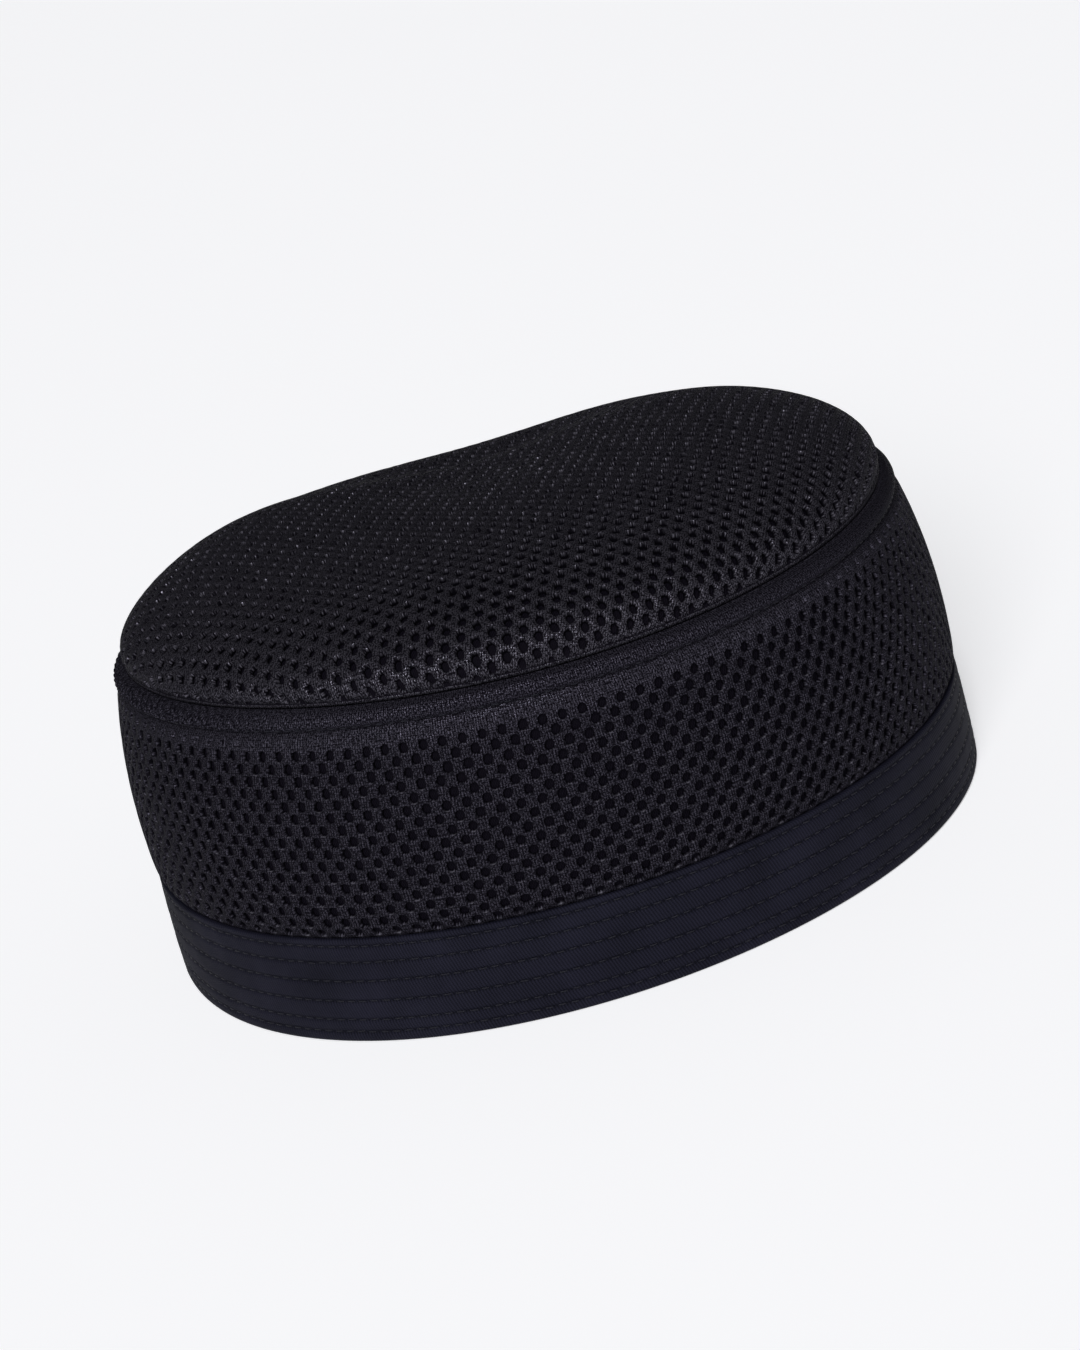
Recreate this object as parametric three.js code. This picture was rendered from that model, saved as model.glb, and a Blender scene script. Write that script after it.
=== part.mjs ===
// A soft prayer cap: a domed crown and a side wall of padded air mesh, closed at the foot by a
// stitched headband of folded cloth. The crown and the wall meet in a sewn seam whose edges lie
// inside, pressed down the wall, so that they raise a welt under the seam.
// Millimetres, +Z up. The origin is on the ground under the middle of the oval rim, and X runs
// along the oval.

import * as THREE from "three";
import { LoftGeometry } from "three/addons/geometries/LoftGeometry.js";

// The oval outline at the foot of the cap, outside the headband
const RIM_LENGTH = 204;
const RIM_WIDTH = 173.4;
const RIM_FULLNESS = 0.008; // how far the diagonals stand out of a true ellipse, as a share
const RIM_EGG = -0.064; // how much rounder the +X end is than the other, as a share

// The oval outline at the seam between wall and crown
const SEAM_LENGTH = 189.4;
const SEAM_WIDTH = 166.2;
const SEAM_FULLNESS = -0.013;
const SEAM_EGG = 0.048;
const SEAM_HEIGHT = 77.4;
const TAPER_POWER = 1.75; // how the wall draws in from rim to seam, a power of the height
const WALL_BELLY = 1.4; // how far the wall swells out between headband and seam

// Cloth and seams
const MESH_THICKNESS = 3.2; // padded air mesh, where nothing presses it
const MESH_PRESSED = 1.4; // the same mesh where a seam or the headband holds it
const SEWING_GAP = 0.3; // between pieces that lie on each other
const GROOVE_DEPTH = 2.0; // how deep the crown seam sits in from the outline
const CROWN_INSET = 1.2; // and how deep the crown's shoulder does
const WELT_WIDTH = 7.2; // from the crown seam down to where the wall is fully padded again
const ALLOWANCE_WIDTH = 5.5; // the crown's edge inside the cap, pressed down the wall

// Headband
const BAND_HEIGHT = 25.1;
const BAND_PLY = 1.2; // the outer ply, with its stiffening
const BAND_FACING = 1.0; // the ply turned inside
const FACING_HEIGHT = 27; // how high the inner ply reaches
const BAND_FOLD = 2.4; // folded cloth under the foot of the wall
const FOLD_ROUND = 1.0; // the rounding of the fold on the ground
const EDGE_ROUND = 0.4; // the rounding of the plies' top edges

// Crown
const CROWN_RISE = 18.4; // the dome over the seam
const CROWN_LEAN = 3; // how much higher the dome's +X end lies than its middle
const CROWN_FLATNESS = 3; // powers of the dome's curve: how flat the top is,
const CROWN_SHOULDER = 2.4; // and how full the shoulder
const PUFF_HEIGHT = 3.0; // how soon the crown swells out over its seam

// The wall's outer face from the headband up to the welt. climb is a share of that height, and
// swell a share of the mesh's full thickness, out from the wall's inner face.
const WALL_FACE = [
  { climb: 0.0, swell: 0.62 },
  { climb: 0.025, swell: 0.84 },
  { climb: 0.06, swell: 0.95 },
  { climb: 0.12, swell: 1.0 },
  { climb: 0.3, swell: 1.04 },
  { climb: 0.5, swell: 1.06 },
  { climb: 0.7, swell: 1.06 },
  { climb: 0.87, swell: 1.04 },
  { climb: 1.0, swell: 0.98 },
];

// The welt over it. climb is a share of the welt's width.
const WELT_FACE = [
  { climb: 0.13, swell: 0.84 },
  { climb: 0.24, swell: 0.76 },
  { climb: 0.36, swell: 0.88 },
  { climb: 0.55, swell: 1.0 },
  { climb: 0.75, swell: 1.0 },
  { climb: 0.92, swell: 0.78 },
];

// Soft dents in the crown. Places and reaches along X and Y are shares of the seam oval's
// half-length and half-width, and depth is a share of the crown's rise; a negative one swells.
const CROWN_DENTS = [
  { x: 0.03, y: 0.82, reachX: 0.4, reachY: 0.74, depth: 0.43 },
  { x: -0.05, y: 0.44, reachX: 0.6, reachY: 0.12, depth: -0.055 },
  { x: 0, y: 0.63, reachX: 0.5, reachY: 0.14, depth: 0.1 },
  { x: -0.76, y: 0.3, reachX: 0.35, reachY: 0.5, depth: -0.21 },
];

// Facets
const RING_STEPS = 64;
const CROWN_STEPS = 18;
const WALL_STEPS = 8;
const BAND_STEPS = 2;
const ROUND_STEPS = 2;

const MESH_COLOUR = 0x15151a;
const BAND_COLOUR = 0x14161f;

const wallInner = BAND_PLY + SEWING_GAP + MESH_PRESSED; // depths in from the outline
const facingOuter = wallInner + SEWING_GAP;
const facingInner = facingOuter + BAND_FACING;

// The oval outline at a height: its half sizes, its shape and its middle.
function outlineAt(height) {
  const share = THREE.MathUtils.clamp(height / SEAM_HEIGHT, 0, 1);
  const drawn = share ** TAPER_POWER;
  const wallShare = THREE.MathUtils.clamp(
    (height - BAND_HEIGHT) / (SEAM_HEIGHT - BAND_HEIGHT),
    0,
    1,
  );
  return {
    halfLength: THREE.MathUtils.lerp(RIM_LENGTH, SEAM_LENGTH, drawn) / 2,
    halfWidth: THREE.MathUtils.lerp(RIM_WIDTH, SEAM_WIDTH, drawn) / 2,
    fullness: THREE.MathUtils.lerp(RIM_FULLNESS, SEAM_FULLNESS, share),
    egg: THREE.MathUtils.lerp(RIM_EGG, SEAM_EGG, share),
    belly: WALL_BELLY * Math.sin(Math.PI * wallShare),
  };
}

// How far the crown's dents lower it at a place given as shares of the seam oval's half sizes.
function dentAt(x, y) {
  return CROWN_DENTS.reduce((sum, dent) => {
    const away = ((x - dent.x) / dent.reachX) ** 2 + ((y - dent.y) / dent.reachY) ** 2;
    return sum + CROWN_RISE * dent.depth * Math.exp(-away);
  }, 0);
}

// The cap's point at an angle round the oval. reach is the share of the outline's radius, depth
// the distance in from there, and sink how much of the crown's dents the point takes.
function pointOnCap(angle, { height, depth = 0, reach = 1, sink = 0 }) {
  const { halfLength, halfWidth, fullness, egg, belly } = outlineAt(height);
  const bulge =
    1 +
    (fullness * (1 - Math.cos(4 * angle))) / 2 +
    egg * Math.cos(angle) * Math.sin(angle) ** 2;
  const x = halfLength * Math.cos(angle) * bulge;
  const y = halfWidth * Math.sin(angle) * bulge;
  const share = reach - (depth - belly) / Math.hypot(x, y);
  const alongX = (x * share) / halfLength;
  const alongY = (y * share) / halfWidth;
  const rise = CROWN_LEAN * alongX - dentAt(alongX, alongY);
  return new THREE.Vector3(x * share, y * share, height + sink * rise);
}

function ringAt(place) {
  return Array.from({ length: RING_STEPS }, (_, i) =>
    pointOnCap((2 * Math.PI * i) / RING_STEPS, place),
  );
}

// Places along a straight line of a section, without its end.
function straight(from, to, steps) {
  return Array.from({ length: steps }, (_, i) => ({
    depth: THREE.MathUtils.lerp(from.depth, to.depth, i / steps),
    height: THREE.MathUtils.lerp(from.height, to.height, i / steps),
  }));
}

// Places round a corner of a section. Angle 0 points into the cap and 90 degrees up.
function corner(depth, height, radius, fromDegrees, toDegrees) {
  return Array.from({ length: ROUND_STEPS + 1 }, (_, i) => {
    const turn = THREE.MathUtils.degToRad(
      THREE.MathUtils.lerp(fromDegrees, toDegrees, i / ROUND_STEPS),
    );
    return { depth: depth + radius * Math.cos(turn), height: height + radius * Math.sin(turn) };
  });
}

// A piece lofted through the rings that the places of its section make.
function pieceOf(name, places, colour, roughness) {
  const material = new THREE.MeshStandardMaterial({ color: colour, roughness, metalness: 0 });
  const piece = new THREE.Mesh(new LoftGeometry(places.map(ringAt)), material);
  piece.name = name;
  return piece;
}

// A loop of places that closes on itself, as a wall's section does.
function closed(places) {
  return [...places, places[0]];
}

// The headband's section: up the outer ply, down the slot that holds the wall's foot, up and
// over the inner ply, and down to the fold on the ground.
function headband() {
  const top = BAND_HEIGHT - EDGE_ROUND;
  const facingTop = FACING_HEIGHT - EDGE_ROUND;
  const slotFoot = { depth: BAND_PLY, height: BAND_FOLD };
  const slotHeel = { depth: facingOuter, height: BAND_FOLD };
  const places = [
    ...corner(FOLD_ROUND, FOLD_ROUND, FOLD_ROUND, 270, 180),
    ...straight({ depth: 0, height: FOLD_ROUND }, { depth: 0, height: top }, BAND_STEPS).slice(1),
    ...corner(EDGE_ROUND, top, EDGE_ROUND, 180, 90),
    ...corner(BAND_PLY - EDGE_ROUND, top, EDGE_ROUND, 90, 0),
    ...straight({ depth: BAND_PLY, height: top }, slotFoot, BAND_STEPS).slice(1),
    slotFoot,
    slotHeel,
    ...straight(slotHeel, { depth: facingOuter, height: facingTop }, BAND_STEPS).slice(1),
    ...corner(facingOuter + EDGE_ROUND, facingTop, EDGE_ROUND, 180, 90),
    ...corner(facingInner - EDGE_ROUND, facingTop, EDGE_ROUND, 90, 0),
    ...straight(
      { depth: facingInner, height: facingTop },
      { depth: facingInner, height: FOLD_ROUND },
      BAND_STEPS,
    ).slice(1),
    ...corner(facingInner - FOLD_ROUND, FOLD_ROUND, FOLD_ROUND, 0, -90),
  ];
  return pieceOf("headband", closed(places), BAND_COLOUR, 0.85);
}

// The wall's section: up from its pressed foot in the headband, out over the padded face and the
// welt, in to the seam groove, and down the inner face.
function sideWall() {
  const foot = BAND_FOLD + SEWING_GAP;
  const tongueOuter = BAND_PLY + SEWING_GAP;
  const top = SEAM_HEIGHT - SEWING_GAP / 2;
  const faceFoot = BAND_HEIGHT + SEWING_GAP;
  const faceHeight = top - WELT_WIDTH - faceFoot;
  const swollen = (swell) => wallInner - swell * MESH_THICKNESS;
  const places = [
    ...straight(
      { depth: tongueOuter, height: foot },
      { depth: tongueOuter, height: BAND_HEIGHT },
      BAND_STEPS,
    ),
    { depth: tongueOuter, height: BAND_HEIGHT },
    ...WALL_FACE.map(({ climb, swell }) => ({
      depth: swollen(swell),
      height: faceFoot + climb * faceHeight,
    })),
    ...WELT_FACE.map(({ climb, swell }) => ({
      depth: swollen(swell),
      height: faceFoot + faceHeight + climb * WELT_WIDTH,
    })),
    { depth: GROOVE_DEPTH, height: top },
    ...straight({ depth: wallInner, height: top }, { depth: wallInner, height: foot }, WALL_STEPS),
    { depth: wallInner, height: foot },
  ];
  return pieceOf("side_wall", closed(places), MESH_COLOUR, 0.95);
}

// The crown's section: from the middle of the dome's underside out to the edge that is sewn
// inside the wall, round it to the seam, and up over the dome. Its curve is a superellipse.
function crown() {
  const seam = SEAM_HEIGHT + SEWING_GAP / 2;
  const edgeInner = facingOuter + MESH_PRESSED;
  const edgeFoot = seam - ALLOWANCE_WIDTH;
  const meanRadius = (SEAM_LENGTH + SEAM_WIDTH) / 4;
  const domeAt = (turn) => {
    const rise = CROWN_RISE * Math.sin(turn) ** (2 / CROWN_SHOULDER);
    return {
      reach: Math.cos(turn) ** (2 / CROWN_FLATNESS),
      rise,
      tuck: THREE.MathUtils.lerp(
        CROWN_INSET,
        GROOVE_DEPTH,
        Math.exp(-((rise / PUFF_HEIGHT) ** 2)),
      ),
    };
  };
  const turns = Array.from(
    { length: CROWN_STEPS - 1 },
    (_, i) => (Math.PI / 2) * (1 - (i + 1) / CROWN_STEPS),
  );
  const outer = turns.map((turn) => {
    const { reach, rise, tuck } = domeAt(turn);
    return { reach, depth: tuck, height: seam + rise, sink: rise / CROWN_RISE };
  });
  // The inner face lies the mesh's thickness in from the outer one, square to the dome's curve.
  const inner = turns.map((turn) => {
    const { reach, rise, tuck } = domeAt(turn);
    const near = domeAt(Math.max(turn - 0.01, 0));
    const run = (near.reach - reach) * meanRadius - (near.tuck - tuck);
    const slope = Math.atan2(rise - near.rise, run);
    return {
      reach,
      depth: tuck + MESH_THICKNESS * Math.sin(slope),
      height: seam + rise - MESH_THICKNESS * Math.cos(slope),
      sink: rise / CROWN_RISE,
    };
  });
  const clear = inner.filter(({ height }) => height > seam + MESH_PRESSED);
  const summit = { reach: 0, height: seam + CROWN_RISE, sink: 1 };
  const places = [
    { ...summit, height: summit.height - MESH_THICKNESS },
    ...clear,
    { depth: edgeInner, height: seam },
    { depth: edgeInner, height: edgeFoot },
    { depth: facingOuter, height: edgeFoot },
    { depth: facingOuter, height: seam },
    { depth: GROOVE_DEPTH, height: seam },
    ...outer.reverse(),
    summit,
  ];
  return pieceOf("crown", places, MESH_COLOUR, 0.95);
}

const cap = new THREE.Group();
cap.add(headband(), sideWall(), crown());

export default cap;
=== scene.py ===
"""A soft prayer cap: a domed crown and a side wall of knitted air mesh over a stitched twill headband.

Lengths are in millimetres until a mesh is made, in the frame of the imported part: +Z up, X along the
oval, and the side that the camera sees faces -Y.
"""

from __future__ import annotations

import logging
import math
from dataclasses import dataclass
from enum import Enum
from typing import Callable, Sequence

import bmesh
import bpy
import numpy as np
from mathutils import Matrix, Vector


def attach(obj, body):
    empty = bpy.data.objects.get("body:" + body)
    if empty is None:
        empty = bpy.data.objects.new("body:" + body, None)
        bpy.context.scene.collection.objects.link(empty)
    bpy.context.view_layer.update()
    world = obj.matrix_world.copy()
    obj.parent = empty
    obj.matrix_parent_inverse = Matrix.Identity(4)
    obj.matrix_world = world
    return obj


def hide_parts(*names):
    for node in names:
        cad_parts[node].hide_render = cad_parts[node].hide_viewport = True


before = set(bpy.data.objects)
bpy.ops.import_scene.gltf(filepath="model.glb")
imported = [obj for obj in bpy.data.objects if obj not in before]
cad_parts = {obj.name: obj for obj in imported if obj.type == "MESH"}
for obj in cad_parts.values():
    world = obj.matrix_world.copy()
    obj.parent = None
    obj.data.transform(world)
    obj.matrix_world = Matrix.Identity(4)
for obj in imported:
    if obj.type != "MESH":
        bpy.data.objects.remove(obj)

LOG = logging.getLogger("prayer_cap")
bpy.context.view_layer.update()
MM = 0.001
TURN = 2 * np.pi

Surface = Callable[[np.ndarray], np.ndarray]
Materials = Sequence[bpy.types.Material]
Pieces = list[bpy.types.Object]
Colour = tuple[float, float, float]


# Curves and meshes


def smoothstep(value: np.ndarray, low: float, high: float) -> np.ndarray:
    """Rises from 0 at low to 1 at high, level at both ends."""
    share = np.clip((value - low) / (high - low), 0, 1)
    return share * share * (3 - 2 * share)


def ripple(places: np.ndarray, size: float, seed: int, waves: int = 8, calm: float = 3.2) -> np.ndarray:
    """Soft irregular waves over flat cloth: the sum of sine waves in seeded directions, made calmer.

    Args:
        places: Places in the cloth, the last axis being across and along.
        size: The usual length of a wave.
        seed: Chooses the waves.
        waves: How many there are.
        calm: What their sum is divided by.

    Returns:
        Numbers of about -1 to 1, one for each place.
    """
    chance = np.random.default_rng(seed)
    heading = chance.uniform(0, TURN, waves)
    rate = TURN / (size * chance.uniform(0.7, 1.6, waves))
    phase = chance.uniform(0, TURN, waves)
    across = places[..., 0, None] * np.cos(heading) + places[..., 1, None] * np.sin(heading)
    return np.sin(across * rate + phase).sum(-1) / calm


def normals_of(surface: Surface, places: np.ndarray, reach: float = 0.25) -> tuple[np.ndarray, ...]:
    """The surface's own directions at places, from points a little to each side of them.

    Args:
        surface: Takes places in the cloth to points.
        places: Where the directions are wanted.
        reach: How far to each side the surface is read.

    Returns:
        The outward normal and the directions across and along the cloth, all of length 1.
    """
    steps = np.array([[reach, 0.0], [0.0, reach]])
    across, along = (surface(places + step) - surface(places - step) for step in steps)
    outward = np.cross(across, along)
    return tuple(v / np.linalg.norm(v, axis=-1, keepdims=True) for v in (outward, across, along))


class MeshSide(Enum):
    """Which finish a part of a piece takes."""

    FACE = 0
    SPACER = 1
    INSIDE = 2


@dataclass
class Patch:
    """A part of a mesh: points, four-cornered faces, and each corner's place in the flat cloth.

    The side is one finish or a finish's number for each face. The lip carries painted light: above 0
    a painted glint on the yarn round a hole, on the side that faces the lamps; below 0 painted shade
    down a hole, in a seam's groove, between the welt's ribs and along the headband's rows.
    """

    points: np.ndarray
    faces: np.ndarray
    cloth: np.ndarray
    side: np.ndarray | MeshSide = MeshSide.FACE
    lip: np.ndarray | None = None


def grid_patch(
    points: np.ndarray,
    cloth: np.ndarray,
    closed: bool,
    side: np.ndarray | MeshSide = MeshSide.FACE,
) -> Patch:
    """Joins a grid of points into faces: rows of a section, columns round the cap.

    Args:
        points: Rows by columns of points; the columns close round the cap.
        cloth: The points' places in the cloth, with the first column repeated at the end.
        closed: True where the last row joins the first.
        side: The finish, or the finish's number for each row.

    Returns:
        The patch.
    """
    rows, columns = points.shape[:2]
    row = np.arange(rows if closed else rows - 1)[:, None]
    column = np.arange(columns)[None, :]
    below, right = (row + 1) % rows, (column + 1) % columns
    here, under = row * columns, below * columns
    faces = np.stack([here + column, here + right, under + right, under + column], -1)
    after = row + 1 if closed else below
    wide = np.concatenate([cloth, cloth[:1]]) if closed else cloth
    corner = [wide[row, column], wide[row, column + 1], wide[after, column + 1], wide[after, column]]
    if isinstance(side, np.ndarray):
        side = np.repeat(side[: len(faces)], columns)
    return Patch(points.reshape(-1, 3), faces.reshape(-1, 4), np.stack(corner, 2).reshape(-1, 4, 2), side)


def faces_between(outer: np.ndarray, inner: np.ndarray) -> np.ndarray:
    """Four corners for every gap between two rings of each cell, of the rings' numbers or places."""
    corners = [outer, np.roll(outer, -1, axis=1), np.roll(inner, -1, axis=1), inner]
    return np.stack(corners, 2).reshape(-1, 4, *outer.shape[2:])


def make_piece(name: str, patches: Sequence[Patch], finishes: Materials) -> bpy.types.Object:
    """Puts patches into one object at the origin, with the flat cloth's millimetres as its UV map.

    Args:
        name: The object's name.
        patches: The parts of its mesh.
        finishes: A material for each side, in the order of MeshSide.

    Returns:
        The object.
    """
    starts = np.cumsum([0] + [len(patch.points) for patch in patches[:-1]])
    points = np.concatenate([patch.points for patch in patches]) * MM
    faces = np.concatenate([patch.faces + start for patch, start in zip(patches, starts)])
    cloth = np.concatenate([patch.cloth for patch in patches])
    sides = [
        patch.side if isinstance(patch.side, np.ndarray) else np.full(len(patch.faces), patch.side.value)
        for patch in patches
    ]
    mesh = bpy.data.meshes.new(name)
    mesh.vertices.add(len(points))
    mesh.vertices.foreach_set("co", points.astype(np.float32).ravel())
    mesh.loops.add(faces.size)
    mesh.loops.foreach_set("vertex_index", faces.astype(np.int32).ravel())
    mesh.polygons.add(len(faces))
    mesh.polygons.foreach_set("loop_start", np.arange(0, faces.size, 4, dtype=np.int32))
    mesh.polygons.foreach_set("material_index", np.concatenate(sides).astype(np.int32))
    mesh.update(calc_edges=True)
    mesh.uv_layers.new(name="Cloth").data.foreach_set("uv", cloth.astype(np.float32).ravel())
    # The lip attribute carries each point's painted light: painted glints above 0, painted shade below 0.
    painted_light = [np.zeros(len(patch.points)) if patch.lip is None else patch.lip for patch in patches]
    lip = mesh.attributes.new("lip", "FLOAT", "POINT")
    lip.data.foreach_set("value", np.concatenate(painted_light).astype(np.float32))
    mesh.polygons.foreach_set("use_smooth", np.ones(len(faces), dtype=bool))
    for finish in finishes:
        mesh.materials.append(finish)
    piece = bpy.data.objects.new(name, mesh)
    bpy.context.scene.collection.objects.link(piece)
    return piece


def close_poles(piece: bpy.types.Object) -> None:
    """Merges the points that lie on each other, as at a dome's middle."""
    work = bmesh.new()
    work.from_mesh(piece.data)
    bmesh.ops.remove_doubles(work, verts=work.verts, dist=1e-7)
    bmesh.ops.dissolve_degenerate(work, edges=work.edges, dist=1e-8)
    work.to_mesh(piece.data)
    work.free()


@dataclass
class SectionPath:
    """A rounded section line through places of depth and height, read by the length along it."""

    places: np.ndarray
    rounding: float = 1.0
    fine: float = 0.05

    def __post_init__(self) -> None:
        """Samples the line and averages it over the rounding's length, which rounds its corners."""
        runs = np.hypot(*np.diff(self.places, axis=0).T)
        self.marks = np.concatenate([[0], np.cumsum(runs)])
        self.along = np.arange(0, self.marks[-1], self.fine)
        line = np.stack([np.interp(self.along, self.marks, column) for column in self.places.T], 1)
        reach = max(int(self.rounding / self.fine), 2)
        weights = np.hanning(2 * reach + 1)
        weights = weights / weights.sum()
        before, after = 2 * line[0] - line[reach:0:-1], 2 * line[-1] - line[-2 : -reach - 2 : -1]
        padded = np.concatenate([before, line, after])
        self.line = np.stack([np.convolve(column, weights, "valid") for column in padded.T], 1)

    def at(self, along: np.ndarray) -> tuple[np.ndarray, np.ndarray]:
        """Depth and height at lengths along the line."""
        return tuple(np.interp(along, self.along, column) for column in self.line.T)


# The cap's own shape


@dataclass(frozen=True)
class CapOutline:
    """The oval outline that every piece follows, drawing in and swelling with height."""

    rim_length: float = 204.0
    rim_width: float = 173.4
    rim_fullness: float = 0.008
    rim_egg: float = -0.064
    seam_length: float = 189.4
    seam_width: float = 166.2
    seam_fullness: float = -0.013
    seam_egg: float = 0.048
    seam_height: float = 77.4
    taper_power: float = 1.75
    wall_belly: float = 1.4
    band_height: float = 25.1
    crown_rise: float = 18.4
    crown_lean: float = 3.0
    dents: tuple[tuple[float, ...], ...] = (
        (0.03, 0.82, 0.4, 0.74, 0.43),
        (-0.05, 0.44, 0.6, 0.12, -0.055),
        (0.0, 0.63, 0.5, 0.14, 0.1),
        (-0.76, 0.3, 0.35, 0.5, -0.21),
    )

    def dent_at(self, x: np.ndarray, y: np.ndarray) -> np.ndarray:
        """Sums the crown's dents, each a bell of its own place, reaches and depth."""
        return sum(
            self.crown_rise * depth * np.exp(-(((x - dx) / rx) ** 2) - ((y - dy) / ry) ** 2)
            for dx, dy, rx, ry, depth in self.dents
        )

    def point(
        self,
        angle: np.ndarray,
        height: np.ndarray,
        depth: np.ndarray | float = 0.0,
        reach: np.ndarray | float = 1.0,
        sink: np.ndarray | float = 0.0,
    ) -> np.ndarray:
        """A point of the cap: an ellipse's point, made fuller, egg-shaped and drawn in by its height.

        Args:
            angle: The angle round the oval.
            height: The height over the ground.
            depth: How far in from the outline it lies.
            reach: The share of the outline's radius, for the crown.
            sink: The share of the crown's lean and dents that it takes.

        Returns:
            The points, with the last axis X, Y and Z.
        """
        share = np.clip(height / self.seam_height, 0, 1)
        drawn = share**self.taper_power
        wall_share = np.clip((height - self.band_height) / (self.seam_height - self.band_height), 0, 1)
        half_length = (self.rim_length + (self.seam_length - self.rim_length) * drawn) / 2
        half_width = (self.rim_width + (self.seam_width - self.rim_width) * drawn) / 2
        fullness = self.rim_fullness + (self.seam_fullness - self.rim_fullness) * share
        egg = self.rim_egg + (self.seam_egg - self.rim_egg) * share
        belly = self.wall_belly * np.sin(np.pi * wall_share)
        bulge = 1 + fullness * (1 - np.cos(4 * angle)) / 2 + egg * np.cos(angle) * np.sin(angle) ** 2
        x, y = half_length * np.cos(angle) * bulge, half_width * np.sin(angle) * bulge
        scale = reach - (depth - belly) / np.hypot(x, y)
        along_x, along_y = x * scale / half_length, y * scale / half_width
        rise = self.crown_lean * along_x - self.dent_at(along_x, along_y)
        return np.stack(np.broadcast_arrays(x * scale, y * scale, height + sink * rise), -1)


@dataclass
class Girth:
    """The length round the cap at one height, which the cloth of wall and headband is measured by."""

    outline: CapOutline
    height: float
    chords: int = 4096

    def __post_init__(self) -> None:
        """Adds up the outline's chords from the +X end."""
        self.angles = np.linspace(0, TURN, self.chords + 1)
        ring = self.outline.point(self.angles, np.full(self.chords + 1, self.height))
        runs = np.linalg.norm(np.diff(ring, axis=0), axis=1)
        self.lengths = np.concatenate([[0], np.cumsum(runs)])
        self.total = float(self.lengths[-1])

    def angle(self, length: np.ndarray) -> np.ndarray:
        """The oval's angle at a length round the cap."""
        return np.interp(np.mod(length, self.total), self.lengths, self.angles)

    def length(self, angle: np.ndarray) -> np.ndarray:
        """The length round the cap at an angle of the oval, the last one full."""
        return np.interp(angle, self.angles, self.lengths)


# Knitted air mesh


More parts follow.
